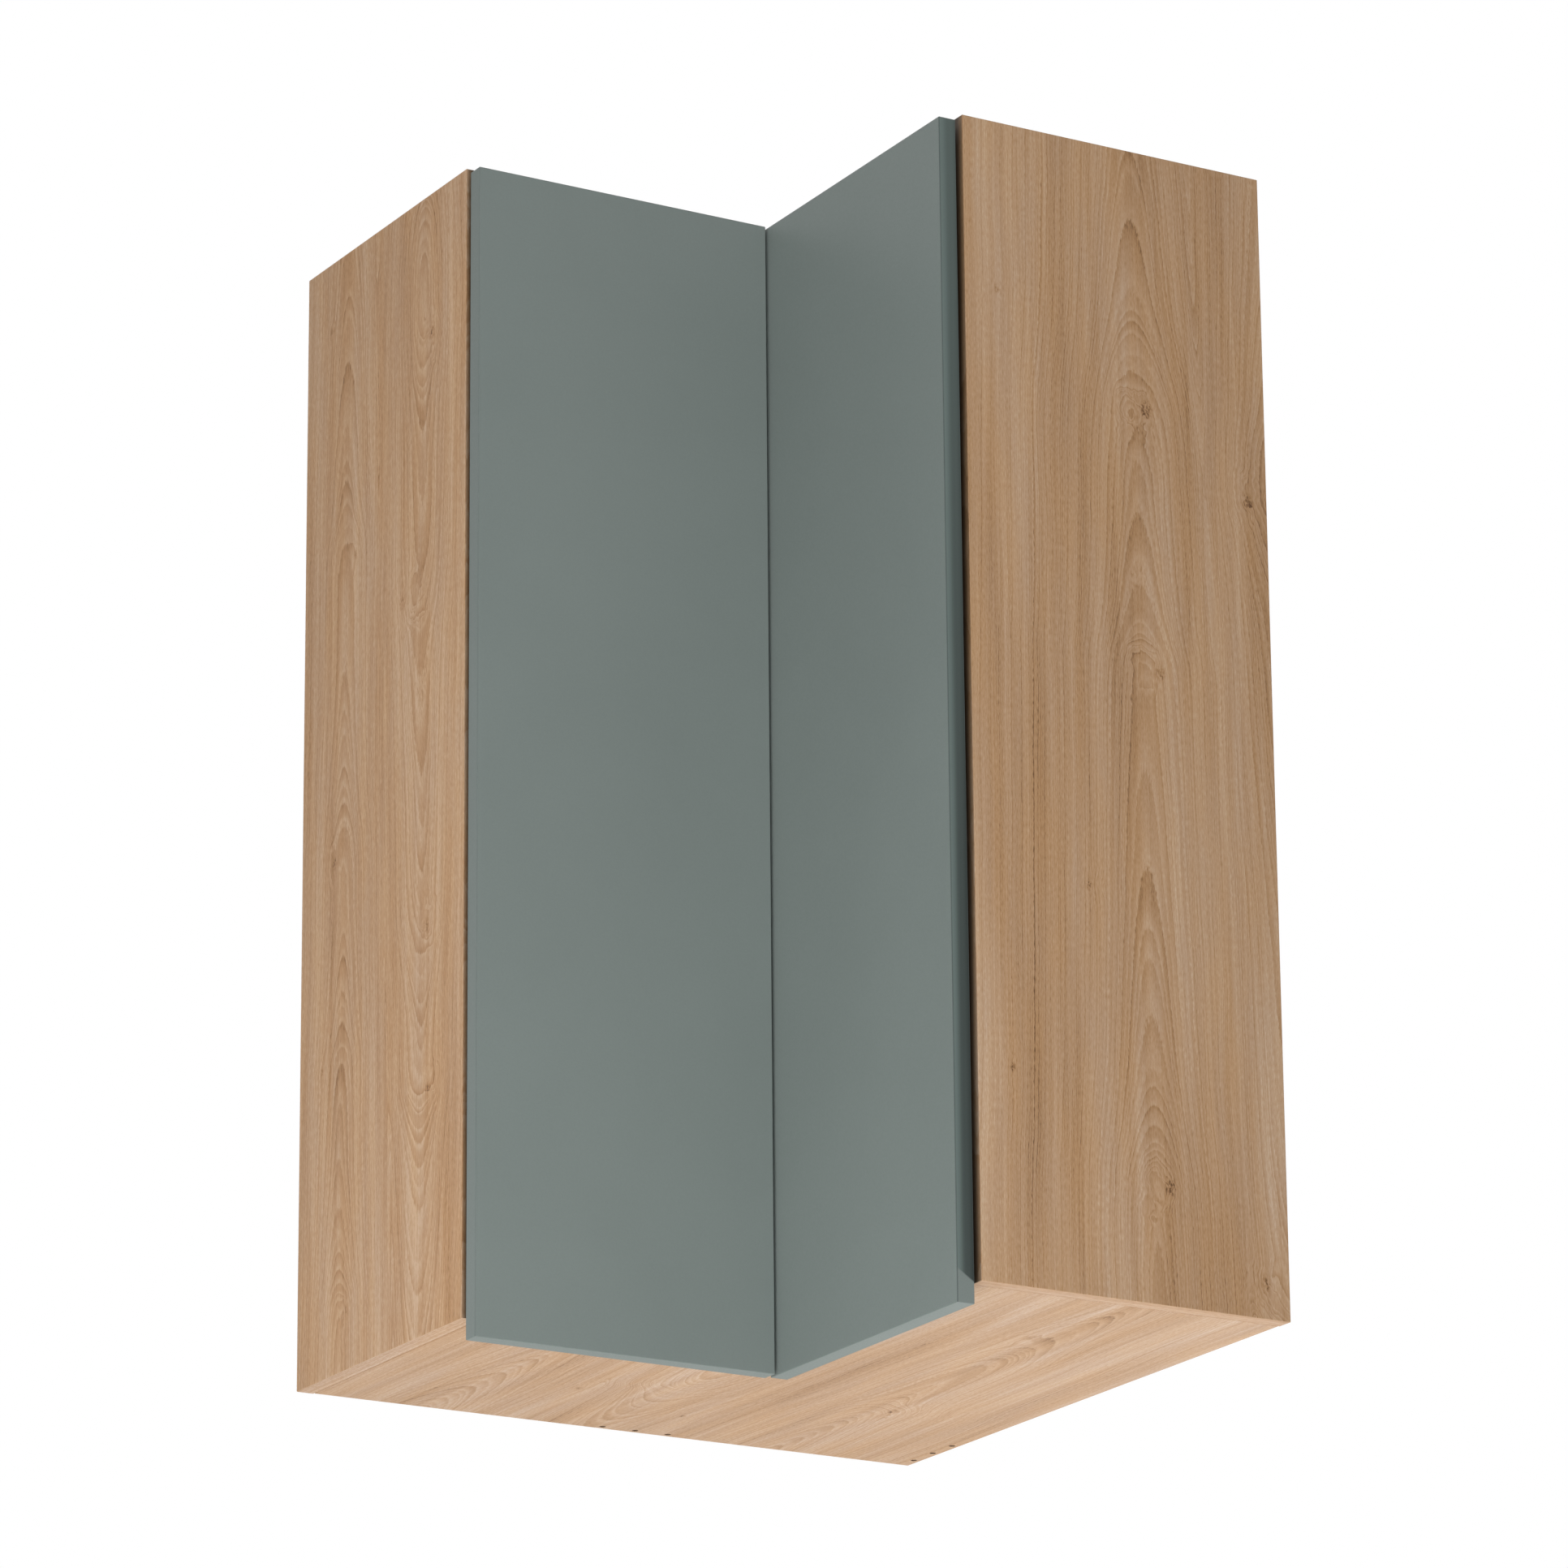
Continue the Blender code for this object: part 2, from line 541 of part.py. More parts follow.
def make_swing_hinge(number, height):
    inward = facing((1, 0, 0))
    mouth = DOOR_BACK - SEAT - FLANGE_THICK
    deep = DOOR_BACK + CUP_DEEP - mouth
    # Cup: a turned can with two screw ears, hollowed except for the cheeks that hold the pin.
    name = f"hinge_cup_{number}"
    cup = add_piece(name, rod_mesh(name, CUP_RADIUS, deep), nickel,
                    (mouth + deep / 2, CUP_AT, height), swing_axis, inward)
    flange = box_mesh(f"{name}_flange", (FLANGE_THICK, FLANGE_WIDE, FLANGE_LONG))
    ears = add_cutter(f"{name}_flange", flange, (mouth + FLANGE_THICK / 2, CUP_AT, height))
    round_edges(ears, FLANGE_THICK / 3)
    combine(cup, ears, "UNION")
    hollow = add_cutter(f"{name}_hollow", rod_mesh(f"{name}_hollow", CUP_RADIUS - CUP_WALL, deep),
                        (mouth + deep / 2 - CUP_WALL, CUP_AT, height), inward)
    cheek_low = ARM_HALF + SEAT
    for sign in (-1, 1):
        low = (mouth + CHEEK_FRONT, SWING.y - 2 * PIVOT_WALL, height + sign * cheek_low)
        high = (mouth + 2 * deep, SWING.y + PIVOT_WALL, height + sign * 2 * CUP_RADIUS)
        cut_box(hollow, f"{name}_cheek_{sign + 1}", (*low[:2], min(low[2], high[2])),
                (*high[:2], max(low[2], high[2])))
    combine(cup, hollow)
    # The rim is notched on the outer side, where the arm swings past when the door is open.
    notch = ARM_HALF + ARM_RELIEF
    cut_box(cup, f"{name}_notch", (mouth - SEAT, CUP_AT - 2 * CUP_RADIUS, height - notch),
            (DOOR_BACK + 2 * ARM_RELIEF, SWING.y + PIVOT_WALL, height + notch))
    cut_round(cup, f"{name}_pin_bore", PIVOT_RADIUS + SEAT, 2 * (PIVOT_HALF + SEAT),
              (SWING.x, SWING.y, height), segments=SEGMENTS)
    # Pin through the cheeks and the arm's eye.
    name = f"hinge_pin_{number}"
    pin = add_piece(name, rod_mesh(name, PIVOT_RADIUS, 2 * PIVOT_HALF, HOLE_SEGMENTS), nickel,
                    (SWING.x, SWING.y, height), swing_axis)
    round_edges(pin, PIVOT_RADIUS / 4)
    # Gooseneck arm: a bent strip from the eye round to the mounting plate.
    arm_y = -INNER + SEAT + PLATE_THICK + SEAT + ARM_THICK / 2
    elbow = arc((SWING.x - ARM_BEND, arm_y - ARM_BEND), ARM_BEND, 0.0, math.pi / 2, 6)
    start = (SWING.x, SWING.y + PIVOT_RADIUS + SEAT + ARM_THICK / 4)
    path = [start, *elbow, (DEPTH - ARM_LONG, arm_y)]
    name = f"hinge_arm_{number}"
    arm = add_piece(name, curve_mesh(name, path, ARM_HALF, False), nickel, (0.0, 0.0, height))
    thicken(arm, ARM_THICK)
    eye = rod_mesh(f"{name}_eye", EYE_RADIUS, 2 * ARM_HALF)
    combine(arm, add_cutter(f"{name}_eye", eye, (SWING.x, SWING.y, height)), "UNION")
    cut_round(arm, f"{name}_bore", PIVOT_RADIUS + SEAT, 4 * ARM_HALF, (SWING.x, SWING.y, height),
              segments=SEGMENTS)
    # Winged mounting plate on the side panel, on the front row of the hole system.
    name = f"hinge_plate_{number}"
    wing, short = PLATE_WING / 2, PLATE_SPINE_HIGH / 2
    fillet = arc((wing + PLATE_FILLET, short + PLATE_FILLET), PLATE_FILLET, -math.pi / 2, -math.pi, 4)
    quarter = [(PLATE_SPINE / 2, PLATE_NOSE_HIGH / 2), *fillet, (wing, PLATE_WING_HIGH / 2)]
    half = quarter + [(-x, y) for x, y in reversed(quarter)]
    cross = half + [(-x, -y) for x, y in half]
    sideways = facing((0, 1, 0))
    plate_y = -INNER + SEAT + PLATE_THICK / 2
    plate = add_piece(name, curve_mesh(name, cross, PLATE_THICK / 2, True), nickel,
                      (HOLE_FRONT_ROW, plate_y, height), turn=sideways)
    for sign in (-1, 1):
        cut_round(plate, f"{name}_hole_{sign + 1}", PLATE_HOLE_RADIUS, 2 * PLATE_THICK,
                  (HOLE_FRONT_ROW, plate_y, height + sign * PLATE_HOLE_AT), sideways)


def make_fold_hinge(number, height):
    # Each leaf is a strip curled round the pin; the right leaf mirrors the left one.
    curl = KNUCKLE_RADIUS - LEAF_THICK / 2
    knuckle = arc(FOLD, curl, 0.0, KNUCKLE_TURN, 20)
    left_path = [(FOLD.x + curl, FOLD.y - LEAF_LONG), *knuckle]
    leaves = {"left": (left_path, swing_axis), "right": ([flip(p) for p in left_path], fold_axis)}
    reach = KNUCKLE_RADIUS + 2 * SEAT
    far = 2 * KNUCKLE_RADIUS
    middle, end = KNUCKLE_HIGH / 2, LEAF_HIGH / 2
    notches = {"left": [(-middle - SEAT, middle + SEAT)],
               "right": [(-end - SEAT, -middle), (middle, end + SEAT)]}
    for side, (path, body) in leaves.items():
        name = f"fold_leaf_{side}_{number}"
        leaf = add_piece(name, curve_mesh(name, path, end, False), nickel, (0.0, 0.0, height), body)
        thicken(leaf, LEAF_THICK)
        low, high = (FOLD.x - far, FOLD.y - reach), (FOLD.x + far, FOLD.y + far)
        if side == "right":
            low, high = flip(high), flip(low)
        for count, (start, stop) in enumerate(notches[side]):
            cut_box(leaf, f"{name}_notch_{count}", (*low, height + start), (*high, height + stop))
        hole_at = (FOLD.x + curl, FOLD.y - LEAF_LONG + LEAF_HOLE_INSET)
        across = facing((1, 0, 0)) if side == "left" else facing((0, 1, 0))
        if side == "right":
            hole_at = flip(hole_at)
        for sign in (-1, 1):
            cut_round(leaf, f"{name}_hole_{sign + 1}", LEAF_HOLE_RADIUS, 4 * LEAF_THICK,
                      (*hole_at, height + sign * (end - LEAF_HOLE_INSET)), across)
    name = f"fold_pin_{number}"
    top = end + SEAT
    profile = [(0.0, top + LEAF_PIN_HEAD_HIGH), (LEAF_PIN_HEAD, top + LEAF_PIN_HEAD_HIGH),
               (LEAF_PIN_HEAD, top), (LEAF_PIN_RADIUS, top), (LEAF_PIN_RADIUS, -end), (0.0, -end)]
    pin = add_piece(name, profile_mesh(name, profile), nickel, (FOLD.x, FOLD.y, height), swing_axis)
    turn_profile(pin, PIN_SEGMENTS)


def make_bumpers():
    long = DOOR_GAP - 2 * SEAT
    dome = arc((0.0, long - BUMPER_RADIUS), BUMPER_RADIUS, math.pi / 2, math.radians(25), 4)
    profile = [*dome, (BUMPER_RADIUS, 0.0), (0.0, 0.0)]
    low, high = BOARD / 2, HEIGHT - DOOR_TOP - BUMPER_RADIUS  # on the bottom and top panels' front edges
    outer, inner = LEG - BUMPER_IN, DEPTH + BUMPER_IN
    places = {
        "side_low": ((outer, -DEPTH - SEAT, low), (0, -1, 0)),
        "side_high": ((outer, -DEPTH - SEAT, high), (0, -1, 0)),
        "corner_low": ((DEPTH + SEAT, -inner, low), (1, 0, 0)),
        "corner_high": ((DEPTH + SEAT, -inner, high), (1, 0, 0)),
    }
    for side, (place, direction) in places.items():
        name = f"bumper_{side}"
        bumper = add_piece(name, profile_mesh(name, profile), rubber, place, turn=facing(direction))
        turn_profile(bumper, HOLE_SEGMENTS)


make_side_panels()
make_top_and_bottom()
make_back_panels()
make_stiles()
make_stile_screws()
make_shelves()
make_shelf_pins()
make_hangers()
make_doors()
for number, height in enumerate(HINGE_HEIGHTS, start=1):
    make_swing_hinge(number, height)
    make_fold_hinge(number, height)
make_bumpers()
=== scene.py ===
import json
import math
from functools import partial

import bpy
import numpy as np
from mathutils import Matrix, Vector


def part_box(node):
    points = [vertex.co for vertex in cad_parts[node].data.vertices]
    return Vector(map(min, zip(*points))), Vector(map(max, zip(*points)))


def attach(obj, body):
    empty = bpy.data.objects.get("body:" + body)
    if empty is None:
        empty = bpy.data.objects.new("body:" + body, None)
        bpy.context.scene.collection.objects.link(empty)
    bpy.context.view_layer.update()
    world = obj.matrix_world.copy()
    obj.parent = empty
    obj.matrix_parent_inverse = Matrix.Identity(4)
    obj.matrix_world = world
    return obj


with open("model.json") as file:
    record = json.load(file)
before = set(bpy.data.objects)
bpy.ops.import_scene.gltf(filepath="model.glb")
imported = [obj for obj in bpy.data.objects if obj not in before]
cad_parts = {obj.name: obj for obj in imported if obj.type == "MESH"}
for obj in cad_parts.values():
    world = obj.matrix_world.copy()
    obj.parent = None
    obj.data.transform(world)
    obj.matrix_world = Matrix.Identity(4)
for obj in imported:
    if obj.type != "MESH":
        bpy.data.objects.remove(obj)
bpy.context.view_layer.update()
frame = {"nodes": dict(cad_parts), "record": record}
nodes = frame["nodes"]
scene = bpy.context.scene
print("frame:", len(nodes), "CAD pieces")


def linearFromHex(code):
    # sRGB hex to linear: x / 12.92 up to 0.04045, above it ((x + 0.055) / 1.055) to the power 2.4
    tone = np.array([int(code[k:k + 2], 16) for k in (1, 3, 5)]) / 255
    linear = np.where(tone <= 0.04045, tone / 12.92, ((tone + 0.055) / 1.055) ** 2.4)
    return (*linear.tolist(), 1.0)


def feed(node, sockets):
    # sockets, by number or name, take values or other nodes' outputs
    for socket, value in sockets.items():
        if isinstance(value, bpy.types.NodeSocket):
            node.id_data.links.new(value, node.inputs[socket])
        else:
            node.inputs[socket].default_value = value


def addNode(tree, kind, *first, more=None, take=0, stops=None, curve=None, **settings):
    # one node with its settings, its first sockets fed in order and more by number or name; gives back one output
    node = tree.nodes.new("ShaderNode" + kind)
    for name, value in settings.items():
        setattr(node, name, value)
    feed(node, {**dict(enumerate(first)), **(more or {})})
    if stops:  # colour ramp: place and colour
        ramp = node.color_ramp.elements
        while len(ramp) < len(stops):
            ramp.new(1.0)
        for element, (place, code) in zip(ramp, stops):
            element.position, element.color = place, linearFromHex(code)
    if curve:  # float curve: points from 0 to 1
        points = node.mapping.curves[0].points
        while len(points) < len(curve):
            points.new(0.5, 0.5)
        for point, spot in zip(points, curve):
            point.location = spot
        node.mapping.update()
    return node.outputs[take]


def newMaterial(name):
    material = bpy.data.materials.new(name)
    material.use_nodes = True
    tree = material.node_tree
    return material, partial(addNode, tree), tree.nodes["Principled BSDF"]


noiseMiddle = 0.5  # a noise swings about this

# Oak laminate: a printed oak decor pressed on particle board with a matt, lightly brushed plate.
# It gives the eye long straight hairlines, arches stacked along a heart line, pin knots and fine short pores.
# Sizes in metres; Turn is a normal's share along an axis; Ends are where a change begins and ends, and what it gives.
oakLook = {
    "ramp": [(0.05, "#64462f"), (0.32, "#a07c58"), (0.57, "#b08e6d"), (0.83, "#bc9f83"), (0.97, "#c5ac93")],
    "rampEnds": (0.40, 1.45),                 # lightness of knots and of bleached oak
    "cool": "#fafcff", "warm": "#fffdf6", "warmEnds": (0.35, 0.65),
    "edgeTurn": 0.7,                          # a face that looks along the grain is an edge band
    "bendBy": 0.016, "waveBy": 0.0045, "rippleBy": 0.0010,
    "pithNear": 0.036, "pithFar": 0.100,      # depth of the pith under the face: a heart's curve runs between them
    "heartBlend": 0.010,                      # how softly two hearts' rings meet
    "ringWide": 0.0013,                       # the face cuts a ring broad at the heart and fine towards the sides
    "unevenPer": 210.0, "unevenDetail": 2.0, "unevenBy": 3.0,  # good and poor years, in rings
    "frayBy": 0.30,                           # how far pores fray a ring's line, in rings
    "ringLine": [(0.0, 0.40), (0.10, 0.0), (0.40, 0.32), (0.72, 0.66), (0.90, 0.86), (0.96, 0.74), (1.0, 0.40)],
    "ownPer": 0.55, "ownDetail": 1.0, "ownEnds": (0.30, 0.70, 0.30, 1.0),  # each ring's own strength
    "ringMean": 0.3,                          # given back, so that rings leave the board as light as it was
    "rings": 0.42, "bands": 0.44, "streaks": 0.44, "hairs": 0.36, "pores": 0.74,
    "knotLong": 1.35, "knotLift": 0.105, "liftEnds": (0.55, 1.55), "whirlBy": 1.3,  # rings swerve round a knot
    "pinEnds": (0.04, 0.26), "speckEnds": (0.44, 0.56), "knotDark": 0.10, "pinDark": 0.30,
    "frontTurn": (0.2, 0.8), "gapPaintedShade": [(0.0, 0.60), (0.22, 0.38), (0.46, 0.17), (1.0, 0.06)],  # painted shade in the gap behind the closed door
    "holeShadeEnds": (0.0024, 0.0031, 0.10),       # radii round a screw hole, and what stays of its wall's tone under the painted shade
    "fibre": 0.0016, "fibreDetail": 4.0, "fibreRough": 0.7, "fibreEnds": (0.40, 0.85),
    "fibreDark": "#7d5c41", "fibreLight": "#a8845f", "cloudPer": 9.0, "cloudDetail": 3.0, "cloudBy": 0.25,
    "bareTurn": 0.1,                          # where print ends and bare fibre begins, round a back panel's edge
    "brushed": (0.3, 0.7, 0.61, 0.50),        # hairs to roughness
    "poreBump": 0.25, "poreDeep": 0.00010, "gloss": 0.25,  # a matt press plate
}
oakPatterns = {              # noise: width across the grain, length along it, detail, straight or with the bent grain
    "bend": (0.120, 0.420, 1.0, "straight"),
    "wave": (0.026, 0.085, 2.0, "straight"),
    "ripple": (0.0100, 0.048, 3.0, "straight"),
    "band": (0.034, 0.500, 2.0, "bent"),
    "streak": (0.0080, 0.420, 3.0, "bent"),
    "hair": (0.0016, 0.240, 3.0, "bent"),
    "pore": (0.0008, 0.0050, 2.0, "bent"),
    "speck": (0.0024, 0.0030, 1.0, "straight"),
    "warmth": (0.020, 0.150, 3.0, "straight"),
    "whirl": (0.015, 0.024, 2.0, "straight"),
}
plainBoard = {               # what a board has where it says nothing else
    "span": (-0.5, 0.5),     # along the grain
    "tone": 1.0, "figure": 1.0, "banding": 1.3, "clouds": 0.2,
    "balance": (1.0, 1.0, 1.0), "ends": None,  # colour of the faces, and of the edge bands where it differs
    "front": None,           # front edge that gets painted shade: its normal's axis and sign, then the axis across it, from and to
    "bored": None,           # screws whose holes it has, with painted shade in them
    "raw": None,             # unprinted side: its normal's axis and sign
}
oakBoards = {  # axes across, along and through; hearts: place across, rise along; knots: across, along, size, lean
    "left_side_panel": {
        "name": "oakLaminateLeftSide", "axes": "XZY", "shift": (3.1, 0.4, 1.7), "tone": 1.09, "figure": 1.22,
        "banding": 1.6, "clouds": 0.0, "balance": (1.105, 1.045, 0.985), "ends": (0.98, 0.99, 1.06),
        "front": (0, 1.0, 1, -0.600, -0.590),
        "hearts": [
            (0.024, [(0.0, 0.10), (0.05, 0.12), (0.09, 0.20), (0.16, 0.27), (0.26, 0.31), (0.30, 0.37), (0.38, 0.43),
                     (0.45, 0.45), (0.50, 0.52), (0.60, 0.58), (0.72, 0.61), (0.76, 0.67), (0.86, 0.73),
                     (1.0, 0.80)]),
            (0.165, [(0.0, 0.95), (0.10, 0.88), (0.16, 0.83), (0.20, 0.76), (0.22, 0.72), (0.28, 0.68), (0.34, 0.60),
                     (0.37, 0.56), (0.50, 0.51), (0.60, 0.46), (0.64, 0.40), (0.68, 0.36), (0.80, 0.31),
                     (0.86, 0.24), (0.90, 0.20), (1.0, 0.30)]),
        ],
        "knots": [(0.1805, 0.373, 0.030, -0.3), (-0.0074, 0.436, 0.018, 0.3), (0.0433, 0.216, 0.019, 0.2),
                  (0.132, 0.145, 0.034, -0.5), (0.0075, -0.053, 0.024, 0.4), (0.1738, -0.153, 0.032, -0.2),
                  (-0.0124, -0.232, 0.016, 0.3), (0.178, -0.292, 0.025, -0.4), (0.039, -0.449, 0.018, 0.2)],
    },
    "right_side_panel": {
        "name": "oakLaminateRightSide", "axes": "YZX", "shift": (7.3, 2.2, 0.6), "tone": 0.985,
        "banding": 1.6, "clouds": 0.25, "balance": (1.03, 1.03, 1.045), "ends": (1.02, 1.04, 1.12),
        "front": (1, -1.0, 0, 0.5465, 0.5285),
        "hearts": [
            (-0.128, [(0.0, 0.05), (0.099, 0.09), (0.135, 0.15), (0.16, 0.19), (0.194, 0.23), (0.267, 0.27),
                      (0.35, 0.31), (0.45, 0.34), (0.538, 0.37), (0.57, 0.43), (0.60, 0.47), (0.66, 0.51),
                      (0.74, 0.54), (0.77, 0.57), (0.805, 0.63), (0.83, 0.67), (0.864, 0.71), (0.937, 0.75),
                      (1.0, 0.78)]),
            (0.012, [(0.0, 0.80), (0.03, 0.72), (0.10, 0.66), (0.30, 0.58), (0.46, 0.50), (0.60, 0.42), (0.69, 0.30),
                     (0.72, 0.26), (0.80, 0.34), (1.0, 0.45)]),
        ],
        "knots": [(-0.263, 0.350, 0.018, 0.3), (-0.1187, 0.270, 0.032, 0.5), (-0.0212, 0.204, 0.032, 0.15),
                  (-0.110, 0.038, 0.028, 0.6), (-0.1866, -0.155, 0.020, -0.3), (-0.263, -0.320, 0.018, 0.2),
                  (-0.1145, -0.401, 0.030, 0.4), (-0.022, -0.470, 0.030, 0.2)],
    },
    "bottom_panel": {
        "name": "oakLaminateBottom", "axes": "YXZ", "span": (-0.06, 0.54), "shift": (1.2, 5.4, 2.9),
        "banding": 1.7, "balance": (1.01, 1.05, 1.16), "ends": (1.02, 1.05, 1.14), "bored": "stile_screw",
        "hearts": [
            (-0.480, [(0.0, 0.20), (0.30, 0.40), (0.55, 0.50), (0.8, 0.70), (1.0, 0.75)]),
            (-0.320, [(0.0, 0.85), (0.24, 0.70), (0.30, 0.55), (0.55, 0.45), (0.78, 0.30), (1.0, 0.20)]),
            (-0.140, [(0.0, 0.10), (0.28, 0.25), (0.36, 0.40), (0.60, 0.48), (0.74, 0.60), (1.0, 0.72)]),
        ],
        "knots": [(-0.40, 0.07, 0.024, 0.3), (-0.12, 0.12, 0.028, -0.4), (-0.16, 0.40, 0.032, 0.2),
                  (-0.27, 0.02, 0.018, 0.4)],
    },
    # boards that the photograph doesn't show: shelves and top, stiles, printed back panels
    "shelf": {
        "name": "oakLaminateInside", "axes": "YXZ", "span": (-0.06, 0.54), "shift": (4.6, 1.1, 0.3),
        "hearts": [(-0.440, [(0.0, 0.80), (0.22, 0.60), (0.45, 0.50), (0.75, 0.35), (1.0, 0.25)]),
                   (-0.180, [(0.0, 0.20), (0.35, 0.40), (0.62, 0.50), (0.70, 0.60), (1.0, 0.75)])],
        "knots": [(-0.33, 0.10, 0.022, 0.3), (-0.09, 0.36, 0.026, -0.3)],
    },
    "rear_stile_back_wall": {
        "name": "oakLaminateStileBack", "axes": "XZY", "shift": (9.2, 3.3, 1.4),
        "hearts": [(0.03, [(0.0, 0.20), (0.3, 0.40), (0.42, 0.55), (0.7, 0.65), (1.0, 0.80)])],
        "knots": [(0.01, 0.12, 0.018, 0.3)],
    },
    "rear_stile_left_wall": {
        "name": "oakLaminateStileLeft", "axes": "YZX", "shift": (2.7, 6.1, 4.4),
        "hearts": [(-0.31, [(0.0, 0.85), (0.25, 0.66), (0.48, 0.52), (0.75, 0.38), (1.0, 0.22)])],
        "knots": [(-0.26, -0.21, 0.018, -0.3)],
    },
    "back_panel_back_wall": {
        "name": "oakPrintFibreboardBack", "axes": "XZY", "shift": (5.5, 0.9, 7.1), "balance": (0.97, 0.95, 0.92),
        "raw": (1, 1.0),
        "hearts": [(0.12, [(0.0, 0.15), (0.28, 0.36), (0.46, 0.50), (0.72, 0.62), (1.0, 0.80)]),
                   (0.40, [(0.0, 0.78), (0.30, 0.62), (0.55, 0.46), (0.80, 0.34), (1.0, 0.24)])],
        "knots": [(0.20, 0.27, 0.022, 0.3), (0.36, -0.18, 0.020, -0.3)],
    },
    "back_panel_left_wall": {
        "name": "oakPrintFibreboardLeft", "axes": "YZX", "shift": (8.8, 4.2, 0.2), "balance": (0.97, 0.95, 0.92),
        "raw": (0, -1.0),
        "hearts": [(-0.46, [(0.0, 0.80), (0.26, 0.64), (0.52, 0.48), (0.78, 0.36), (1.0, 0.20)]),
                   (-0.16, [(0.0, 0.22), (0.33, 0.40), (0.58, 0.54), (0.84, 0.66), (1.0, 0.78)])],
        "knots": [(-0.40, 0.31, 0.020, 0.2), (-0.22, -0.12, 0.024, 0.4)],
    },
}


def oakLaminate(board):
    # Growth rings: the distance of a point of the face from a pith that runs under it at a slowly changing depth,
    # the square root of (aside squared plus depth squared), with a lift round each knot, counted in ring widths.
    # Rings, streaks, hairs and pores add up to one lightness, and a ramp gives each lightness its oak colour.
    look, board = oakLook, {**plainBoard, **board}
    material, add, shader = newMaterial(board["name"])
    coords = add("TexCoord").node.outputs
    place = coords["Object"]
    spot = add("SeparateXYZ", place).node.outputs
    turned = add("SeparateXYZ", coords["Normal"]).node.outputs
    across, along, through = ("XYZ".index(letter) for letter in board["axes"])
    steep = add("Math", turned[along], operation="ABSOLUTE")
    onEdge = add("Math", steep, look["edgeTurn"], operation="GREATER_THAN")  # on an edge band the grain runs along it
    u, v, w = (add("Mix", onEdge, more={2: spot[face], 3: spot[edge]})
               for face, edge in ((across, through), (along, across), (through, along)))
    paths = {"straight": add("CombineXYZ", u, v, w)}

    noise, bent = {}, u
    for key, (wide, long, detail, path) in oakPatterns.items():
        if path not in paths:  # the first pattern that follows the bent grain: the three before it bend it
            for name in ("bend", "wave", "ripple"):
                centred = add("Math", noise[name], noiseMiddle, operation="SUBTRACT")
                bent = add("Math", centred, look[name + "By"], bent, operation="MULTIPLY_ADD")
            paths[path] = add("CombineXYZ", bent, v, w)
        stretched = add("Mapping", paths[path], board["shift"], more={"Scale": (1 / wide, 1 / long, 1 / wide)})
        noise[key] = add("TexNoise", stretched, more={"Scale": 1.0, "Detail": detail})

    lengthwise = add("MapRange", v, *board["span"])
    radius = None
    for centre, rise in board["hearts"]:
        aside = add("Math", bent, centre, operation="SUBTRACT")
        risen = add("FloatCurve", more={"Value": lengthwise}, curve=rise)
        depth = add("MapRange", risen, more={3: look["pithNear"], 4: look["pithFar"]})
        pair = add("CombineXYZ", aside, depth)
        reach = add("VectorMath", pair, take="Value", operation="LENGTH")
        radius = reach if radius is None else add("Math", radius, reach, look["heartBlend"], operation="SMOOTH_MIN")
    eyes = None
    for knotU, knotV, size, lean in board["knots"]:  # the pin stands a lean aside of the eye that the rings draw
        long = look["knotLong"] * size
        local = add("Mapping", paths["bent"], (lean - knotU / size, -knotV / long, 0.0),
                    more={"Scale": (1 / size, 1 / long, 0.0)})
        away = add("VectorMath", local, take="Value", operation="LENGTH")
        whirled = add("Math", noise["whirl"], look["whirlBy"], away, operation="MULTIPLY_ADD")
        lift = add("MapRange", whirled, *look["liftEnds"], look["knotLift"] * size, 0.0,
                   interpolation_type="SMOOTHERSTEP")
        radius = add("Math", radius, lift, operation="SUBTRACT")
        near = add("VectorMath", local, (lean, 0.0, 0.0), take="Value", operation="DISTANCE")
        core = add("MapRange", near, *look["pinEnds"], 1.0, 0.0, interpolation_type="SMOOTHSTEP")
        eyes = core if eyes is None else add("Math", eyes, core, operation="MAXIMUM")

    uneven = add("TexNoise", more={"W": radius, "Scale": look["unevenPer"], "Detail": look["unevenDetail"]},
                 noise_dimensions="1D")
    counted = add("Math", radius, 1 / look["ringWide"], operation="MULTIPLY")
    counted = add("Math", uneven, look["unevenBy"], counted, operation="MULTIPLY_ADD")
    frayed = add("Math", noise["pore"], look["frayBy"], counted, operation="MULTIPLY_ADD")
    ring = add("Math", frayed, operation="FRACT")
    line = add("FloatCurve", more={"Value": ring}, curve=look["ringLine"])
    own = add("TexNoise", more={"W": counted, "Scale": look["ownPer"], "Detail": look["ownDetail"]},
              noise_dimensions="1D")
    strength = add("MapRange", own, *look["ownEnds"])
    drawn = add("Math", line, strength, operation="MULTIPLY")
    speckled = add("MapRange", noise["speck"], *look["speckEnds"])
    pins = add("Math", eyes, speckled, operation="MULTIPLY")

